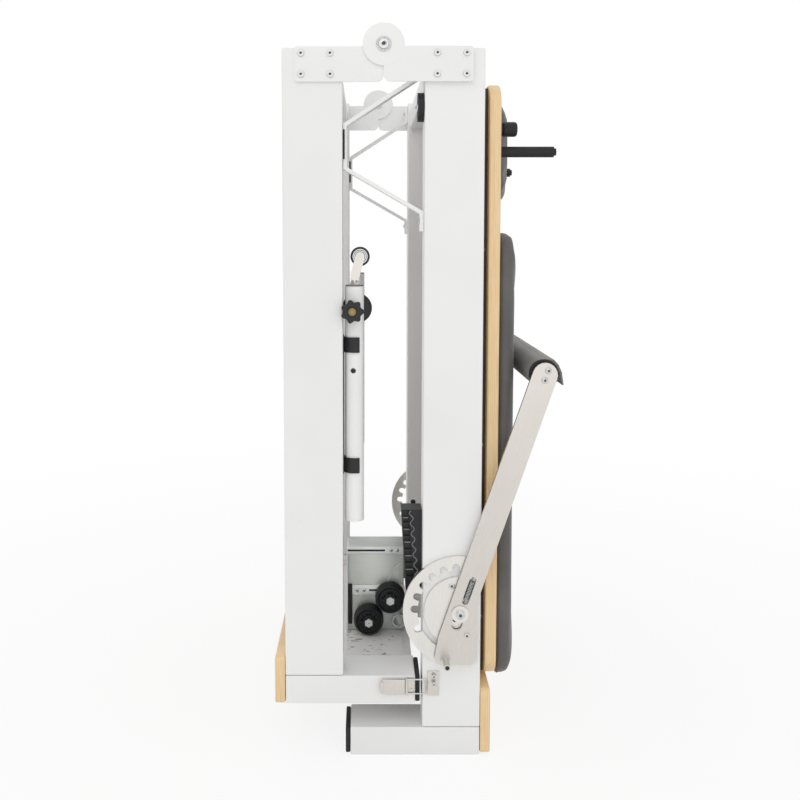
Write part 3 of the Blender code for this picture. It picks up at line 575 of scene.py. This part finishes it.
def footbar_sleeve():
    """The wrapped foam grip. Its cover's loose end stands off as a tongue on the outer side."""
    low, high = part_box("footbar_sleeve")
    centre = (low + high) / 2
    radius = (high[0] - low[0]) / 2
    length = high[1] - low[1]
    bore, soft = 0.0143, 0.005
    turns = [math.radians(angle) for angle in (0, 22, 45, 67, 90)]
    end = [(radius - soft + soft * math.sin(a), soft - soft * math.cos(a)) for a in turns]
    profile = [(bore, 0.0)] + end + [(r, length - z) for r, z in reversed(end)]
    profile += [(bore, length), (bore, 0.0)]
    bm = bmesh.new()
    spun(bm, "y", (centre[0] - HINGE_X, low[1], centre[2]), profile, 64)
    sleeve = piece("footbar_grip", bm, FINISHES["sleeve"], "footbar", ("footbar_sleeve",))

    # The tongue's outline, from the grip's axis: its outer side, then its inner side back.
    outer =[(0.0060, 0.0246), (0.0184, 0.0235), (0.0262, 0.0150), (0.0318, 0.0020), (0.0350, -0.0195)]
    inner = [(0.0325, -0.0195), (0.0290, 0.0010), (0.0235, 0.0120), (0.0160, 0.0195), (0.0060, 0.0235)]
    outline = [(centre[0] + x, centre[2] + z) for x, z in outer + inner]
    bm = drawn_solid(outline, low[1] + 0.004, high[1] - 0.004)
    piece("grip_tongue", bm, FINISHES["sleeve"], "footbar")

    bm = bmesh.new()
    for sign in SIDES.values():
        where = (centre[0] - HINGE_X, sign * (high[1] - 0.0008), centre[2])
        ring(bm, "y", where, bore, radius + 0.0002, sign * 0.0050, 56)
    piece("grip_end_rings", bm, FINISHES["rubber"], "footbar")


def stop_knob():
    """The rubber stop beside the headrest: a collar and a chamfered knob."""
    low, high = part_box("stop_knob")
    centre = (low[0] - HINGE_X, (low[1] + high[1]) / 2, (low[2] + high[2]) / 2)
    profile = [(0.0, 0.0), (0.0122, 0.0), (0.0122, 0.0095), (0.0110, 0.0105), (0.0127, 0.0118)]
    profile += [(0.0129, 0.0300), (0.0120, 0.0335), (0.0095, 0.0350), (0.0, 0.0350)]
    bm = bmesh.new()
    spun(bm, "x", centre, profile, 40)
    piece("stop_knob_turned", bm, FINISHES["rubber"], "carriage", ("stop_knob",))


def springs():
    """Wound springs. The tension springs stretch from the frame's end to the carriage."""
    steel = FINISHES["spring_steel"]
    low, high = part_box("lock_spring_near")
    centre = (low + high) / 2
    half_length = 0.0249
    reach = Vector((math.sin(ARM_LEAN), 0, math.cos(ARM_LEAN))) * half_length
    route = coil(centre - reach, centre + reach, radius=0.0040, curls=13, length=0.034, points=18)
    wire("lock_spring", route, 0.0010, steel, "footbar", ("lock_spring_near",))
    bm = bmesh.new()
    block(bm, (-0.0068, -0.3332, -0.0300), (0.0068, -0.3320, 0.0300), 0.0004)
    where = Matrix.Translation((centre[0], 0, centre[2])) @ Matrix.Rotation(ARM_LEAN, 4, "Y")
    bmesh.ops.transform(bm, matrix=where @ Matrix.Translation((-HINGE_X, 0, 0)), verts=bm.verts)
    piece("spring_slot_back", bm, FINISHES["stainless"], "footbar")
    for side in SIDES:
        node = f"carriage_spring_{side}"
        low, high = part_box(node)
        x, y = (low[0] + high[0]) / 2, (low[1] + high[1]) / 2
        ends = (x, y, low[2]), (x, y, high[2])
        wound = (high[2] - low[2]) * 0.9
        route = coil(*ends, radius=0.0088, curls=24, length=wound, points=16)
        spring = wire(f"tension_spring_{side}", route, 0.0013, steel, replaces=(node,))
        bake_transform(spring)


# ---- Small fittings ----


# Screw heads that both sides have: x, distance of their seat from the middle, z, radius and height.
PLATE_SCREWS = [(x, z) for z in (1.164, 1.198) for x in (0.088, 0.136)]
BASE_HEADS = [(x, 0.3333, z, 0.0057, 0.0034) for x, z in PLATE_SCREWS] + [
    (0.0, 0.3338, PIVOT_Z, 0.0088, 0.0054),  # pivot bolt
    (0.1174, 0.3313, 0.303, 0.0056, 0.0012),  # gear plate's screw
    (0.131, 0.3472, 0.258, 0.0074, 0.0010),  # gear plate's hub bolt
]
FOLDING_HEADS = [(-x, 0.3291, z, 0.0057, 0.0034) for x, z in PLATE_SCREWS]
ARM_HEADS = [
    (0.2756, ARM_FACE, 0.6745, 0.0058, 0.0031),
    (0.2696, ARM_FACE, 0.6584, 0.0058, 0.0031),
    (0.1429, ARM_FACE, 0.2200, 0.0052, 0.0026),
]
CARRIAGE_EDGE_HEADS = [(0.1739, 0.2745, z, 0.0034, 0.0016) for z in (0.226, 0.534, 0.876)]


def on_both_sides(rows):
    """The rows of a table of heads, on the near and the far side, as button_heads takes them."""
    signs = SIDES.values()
    return [((x, s * y, z), radius, s * height) for s in signs for x, y, z, radius, height in rows]


def screws():
    """Button heads over the plain heads of the hinge plates, footbar arms and carriage."""
    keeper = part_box("latch_keeper")[0][1]
    keeper_heads = [((0.0876, keeper, z), 0.0036, -0.0014) for z in (0.1309, 0.1443)]
    leg_heads = [((0.0577, -SIDE_Y, 1.114), 0.0065, -0.0032)]
    rings = bmesh.new()
    for sign in SIDES.values():
        leg_heads += [((0.0614, sign * SIDE_Y, z), 0.0048, -0.0024) for z in (0.925, 1.186)]
        ring(rings, "y", (0.0, sign * 0.3340, PIVOT_Z), 0.0105, 0.0128, sign * 0.0010)
    button_heads("base_button_heads", "y", on_both_sides(BASE_HEADS) + keeper_heads, "base_half")
    button_heads("folding_button_heads", "y", on_both_sides(FOLDING_HEADS), "folding_half")
    button_heads("arm_button_heads", "y", on_both_sides(ARM_HEADS), "footbar")
    button_heads("carriage_edge_screws", "y", on_both_sides(CARRIAGE_EDGE_HEADS), "carriage")
    button_heads("middle_leg_screws", "x", leg_heads, "base_half")
    piece("pivot_rings", rings, ZINC, "base_half")


def frame_fittings():
    """Rubber strips on the middle legs, bolt holes in rails and gears, and the lock pins' nuts. The holes
    and the pins' bores are thin near-black discs: painted shade.
    """
    strips, holes, bores, nuts = (bmesh.new() for _ in range(4))
    half_strip = 0.0164
    for sign in SIDES.values():
        side = sign * SIDE_Y
        block(strips, (-0.0679, side - half_strip, 1.027), (-0.0645, side + half_strip, 1.076), 0.0006)
        # Painted shade: the rail holes and the lock pins' bores are thin near-black discs.
        for z in (0.171, 0.219, 0.271):
            disc(holes, "y", (0.083, sign * 0.2749, z), 0.0060, -sign * 0.0003)
        disc(bores, "y", (LOCK_PIN_X, sign * 0.3696, LOCK_PIN_Z), 0.0036, sign * 0.0003)
        disc(nuts, "y", (LOCK_PIN_X, sign * 0.3397, LOCK_PIN_Z), 0.0088, sign * 0.0055, 6)
        # Painted shade: a thin near-black disc for the gear plate's hole.
        disc(holes, "y", (0.1240, sign * 0.3314, 0.2459), 0.0058, sign * 0.0006)
    piece("middle_leg_strips", strips, FINISHES["rubber"], "base_half")
    piece("rail_and_gear_holes", holes, PAINTED_HOLE_SHADE, "base_half")
    piece("lock_pin_bores", bores, PAINTED_HOLE_SHADE, "footbar")
    piece("lock_pin_nuts", nuts, ZINC, "footbar")


def post_fittings():
    """End plugs, knob inserts, the black disc behind the near post and the sheave's ribs."""
    plug = [(0.0090, 0.0002), (0.0152, 0.0002), (0.0158, 0.0012), (0.0152, 0.0022), (0.0090, 0.0026)]
    plugs = bmesh.new()
    for side, sign in SIDES.items():
        spun(plugs, "z", (POST_X, sign * SIDE_Y, POST_TOP), plug + plug[:1], 40)
        insert = (KNOB_X, sign * KNOB_FACE, KNOB_Z)
        bm = bmesh.new()
        disc(bm, "y", insert, 0.0040, sign * 0.0012, 6)
        ring(bm, "y", insert, 0.0041, 0.0062, sign * 0.0006)
        piece(f"knob_insert_{side}", bm, BRASS, f"knob_{side}")
    piece("post_end_plugs", plugs, GREY_PLUG, "folding_half")

    rim = [(0.0, 0.0), (0.0210, 0.0), (0.0250, 0.0022), (0.0260, 0.006)]
    rim += [(0.0250, 0.0098), (0.0210, 0.012), (0.0, 0.012)]
    bm = bmesh.new()
    spun(bm, "y", (-0.0446, -0.2837, 0.775), rim)
    piece("post_rear_disc", bm, FINISHES["black_plastic"], "folding_half")

    low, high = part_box("pulley_sheave")
    centre = ((low[0] + high[0]) / 2 - HINGE_X, low[1], (low[2] + high[2]) / 2)
    bm = bmesh.new()
    for radius in (0.0045, 0.0070, 0.0095, 0.0120):
        ring(bm, "y", centre, radius - 0.0008, radius + 0.0008, -0.0006)
    disc(bm, "y", centre, 0.0030, -0.0010)
    piece("sheave_ribs", bm, ZINC, "pulley_sheave")


def wheel_fittings():
    """Spokes, hub rings and axle nuts of the transport wheels."""
    axle_nut = [(0.0, -0.0070), (0.0027, -0.0066), (0.0036, -0.0050), (0.0036, 0.0), (0.0, 0.0)]
    axle_end = -0.1468
    spokes = 6
    nuts = bmesh.new()
    for name in "ab":
        low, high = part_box(f"transport_wheel_{name}")
        x, face, z = (low[0] + high[0]) / 2 - HINGE_X, low[1], (low[2] + high[2]) / 2
        bm = bmesh.new()
        ring(bm, "y", (x, face, z), 0.0192, 0.0206, -0.0008)
        ring(bm, "y", (x, face, z), 0.0085, 0.0115, -0.0020)
        hub, drawn_at = Matrix.Translation((HINGE_X + x, 0, z)), Matrix.Translation((-HINGE_X, 0, 0))
        for spoke in range(spokes):
            old = set(bm.verts)
            block(bm, (0.0105, face - 0.0010, -0.0013), (0.0198, face + 0.0010, 0.0013), 0.0004)
            turn = hub @ Matrix.Rotation(math.tau * spoke / spokes, 4, "Y") @ drawn_at
            bmesh.ops.transform(bm, matrix=turn, verts=[v for v in bm.verts if v not in old])
        piece(f"wheel_spokes_{name}", bm, FINISHES["black_plastic"], f"wheel_{name}")
        spun(nuts, "y", (x, axle_end, z), axle_nut, 6)
    piece("wheel_axle_nuts", nuts, ZINC, "folding_half")


# The bars' left ends, lower and upper edges, ends of their slots and places of their screws.
SLOTTED_BARS = (
    (-0.0655, 0.2840, 0.2978, (-0.0650, 0.0080), (0.0198, 0.0315)),
    (-0.0555, 0.2020, 0.2216, (-0.0230, 0.0060), (-0.0464, -0.0327)),
)
BAR_RIGHT = 0.0448
BAR_THICKNESS = 0.0040
HALF_SLOT = 0.0018


def slotted_bars():
    """The two bright bars on the cross profile's near face, with their slots and screws."""
    bars, slots, heads = bmesh.new(), bmesh.new(), []
    front = PROFILE_FACE - BAR_THICKNESS
    for left, low, high, slot, holes in SLOTTED_BARS:
        middle = (low + high) / 2
        block(bars, (left, front, low), (BAR_RIGHT, PROFILE_FACE - 0.0001, high), 0.0010)
        # Painted shade: each slot is a thin near-black strip on the bar's face.
        slot_low = (slot[0], front - 0.0002, middle - HALF_SLOT)
        block(slots, slot_low, (slot[1], front + 0.0001, middle + HALF_SLOT))
        heads += [((x, front, middle), 0.0034, -0.0016) for x in holes]
    piece("slotted_bars", bars, BRIGHT_BAR, "folding_half")
    piece("bar_slots", slots, PAINTED_HOLE_SHADE, "folding_half")
    button_heads("bar_screws", "y", heads, "folding_half")


def white_cable():
    """A thin cable that bows out of the profile in an arc of about 56 mm."""
    centre_x, centre_z, radius = 0.0603, 0.2266, 0.045
    first, swept, steps = 117.8, 71.2, 16
    route = []
    for step in range(steps + 1):
        angle = math.radians(first + swept * step / steps)
        x, z = centre_x + radius * math.cos(angle), centre_z + radius * math.sin(angle)
        route.append((HINGE_X + x, PROFILE_FACE - 0.0052, z))
    wire("white_cable", route, 0.0009, FINISHES["white_coat"], "folding_half")


def foot_fittings():
    """The cross profile's bars, strips, tube end and cable, and the scuffed sheet on the panel."""
    slotted_bars()
    white_cable()
    back = PROFILE_FACE - 0.0001
    edge, sheet, strip, tube = (bmesh.new() for _ in range(4))
    block(edge, (-0.0662, PROFILE_FACE - 0.0050, 0.1312), (-0.0644, back, 0.2820), 0.0004)
    block(strip, (-0.0639, PROFILE_FACE - 0.0030, 0.1437), (-0.0561, back, 0.2235), 0.0008)
    ring(tube, "y", (0.0354, PROFILE_FACE - 0.0002, 0.1534), 0.0112, 0.0136, -0.0120)
    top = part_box("left_foot_panel")[1][2]
    block(sheet, (-0.0660, -0.2440, top + 0.0001), (0.0400, -0.1160, top + 0.0006))
    piece("profile_edge_strip", edge, FINISHES["white_coat"], "folding_half")
    piece("cross_profile_strip", strip, FINISHES["rubber"], "folding_half")
    piece("tube_end", tube, ZINC, "folding_half")
    piece("scuffed_sheet", sheet, SCUFFED, "folding_half")


def block_fittings():
    """The rungs, rib and wavy bead on the ribbed block's near face."""
    face, low, high = -0.3004, 0.2960, 0.4247
    bead_x, bead_lean, wave, wave_turn = 0.0487, 0.086, 0.0030, 340
    steps = 120
    bead = []
    for step in range(steps + 1):
        z = low + (high - low) * step / steps
        bead.append((HINGE_X + bead_x + bead_lean * (high - z) + wave * math.sin(z * wave_turn), face, z))
    wire("block_bead", bead, 0.0010, GREY_PLUG, "base_half")
    ends = [(HINGE_X + x, face, z) for x, z in ((0.0555, low), (0.0435, high))]
    wire("block_rib", ends, 0.0010, FINISHES["black_plastic"], "base_half")
    half = 0.0008
    bm = bmesh.new()
    for z in (0.3210, 0.3452, 0.3694, 0.3919, 0.4126):
        lean = 0.093 * (high - z)
        left, right = 0.0345 + 0.6 * lean, 0.0435 + lean
        block(bm, (left, face - half, z - half), (right, face + half, z + half))
    piece("block_rungs", bm, GREY_PLUG, "base_half")


# ---- Room, light and camera ----


def seen_by(tree, *kinds):
    """1 for the two kinds of ray named, and 0 for the others."""
    path = add(tree, "ShaderNodeLightPath")
    rays = {number: path.outputs[f"Is {kind} Ray"] for number, kind in enumerate(kinds)}
    return add(tree, "ShaderNodeMath", rays, operation="MAXIMUM").outputs[0]


def floor():
    """A plain pale floor. The camera sees it white, with the object's soft shadow close by."""
    made = bpy.data.materials.new("pale_floor")
    made.use_nodes = True
    tree = made.node_tree
    tree.nodes.remove(tree.nodes["Principled BSDF"])
    coords = add(tree, "ShaderNodeTexCoord").outputs["Object"]
    away = add(tree, "ShaderNodeVectorMath", {0: coords}, operation="LENGTH").outputs["Value"]
    factors = {0: seen_by(tree, "Camera", "Glossy"), 1: ramp(tree, away, 0.6, 2.2, 0.84, 1.0)}
    share = add(tree, "ShaderNodeMath", factors, operation="MULTIPLY").outputs[0]
    plain = add(tree, "ShaderNodeBsdfDiffuse", {"Color": (0.88, 0.88, 0.88, 1)}).outputs[0]
    bright = add(tree, "ShaderNodeEmission", {"Color": (1, 1, 1, 1), "Strength": 1.0}).outputs[0]
    both = add(tree, "ShaderNodeMixShader", {0: share, 1: plain, 2: bright})
    tree.links.new(both.outputs[0], tree.nodes["Material Output"].inputs["Surface"])
    bm = bmesh.new()
    bmesh.ops.create_grid(bm, x_segments=1, y_segments=1, size=40)
    mesh = bpy.data.meshes.new("floor")
    bm.to_mesh(mesh)
    bm.free()
    mesh.materials.append(made)
    obj = bpy.data.objects.new("floor", mesh)
    obj.location = (0, 0, -0.0005)
    bpy.context.scene.collection.objects.link(obj)


def world(strength):
    """White all round: full white to the camera, and this strong as light."""
    made = bpy.data.worlds.new("studio")
    bpy.context.scene.world = made
    made.use_nodes = True
    tree = made.node_tree
    background = tree.nodes["Background"]
    background.inputs["Color"].default_value = (1, 1, 1, 1)
    seen = seen_by(tree, "Camera", "Transmission")
    tree.links.new(ramp(tree, seen, 0, 1, strength, 1.0), background.inputs["Strength"])


def lamp(name, location, target, size, power):
    data = bpy.data.lights.new(name, "AREA")
    data.shape = "RECTANGLE"
    data.size, data.size_y = size
    data.energy = power
    obj = bpy.data.objects.new(name, data)
    obj.location = location
    obj.rotation_euler = (Vector(target) - Vector(location)).to_track_quat("-Z", "Y").to_euler()
    bpy.context.scene.collection.objects.link(obj)


def camera():
    """The photograph's side view. The lens shift is small, so the camera is lower and tilts down."""
    data = bpy.data.cameras.new("camera")
    data.sensor_width = 36
    data.lens = 40.5
    data.shift_x = 0.0425
    data.shift_y = -0.12
    obj = bpy.data.objects.new("camera", data)
    obj.location = (HINGE_X - 0.0290, -1.8300, 0.8905)
    obj.rotation_euler = (math.radians(90 - 4), 0, 0)
    bpy.context.scene.collection.objects.link(obj)
    bpy.context.scene.camera = obj


dress_frame()
mat = pad("carriage_mat", "mat_cushion", voxel=0.007, shrink=0.99, cap=0.005)
headrest = pad("headrest_pad", "headrest_cushion", voxel=0.005, shrink=0.99, cap=0.005)
welt("carriage_mat", mat, "mat_welt", rise=0.006, corner=0.055)
welt("headrest_pad", headrest, "headrest_welt", rise=0.006, corner=0.065)
footbar_sleeve()
stop_knob()
springs()
screws()
frame_fittings()
post_fittings()
wheel_fittings()
foot_fittings()
block_fittings()
floor()
world(0.84)
lamp("key_light", (-0.6, -2.2, 2.6), (-0.06, -0.2, 0.3), size=(1.6, 1.6), power=7)
lamp("front_light", (0.3, -3.4, 0.9), (0, 0, 0.6), size=(1.6, 1.6), power=5)
lamp("top_light", (0.4, 0.6, 3.4), (0, 0, 0.6), size=(2.4, 2.4), power=4)
camera()
bpy.context.scene.view_settings.view_transform = "Standard"
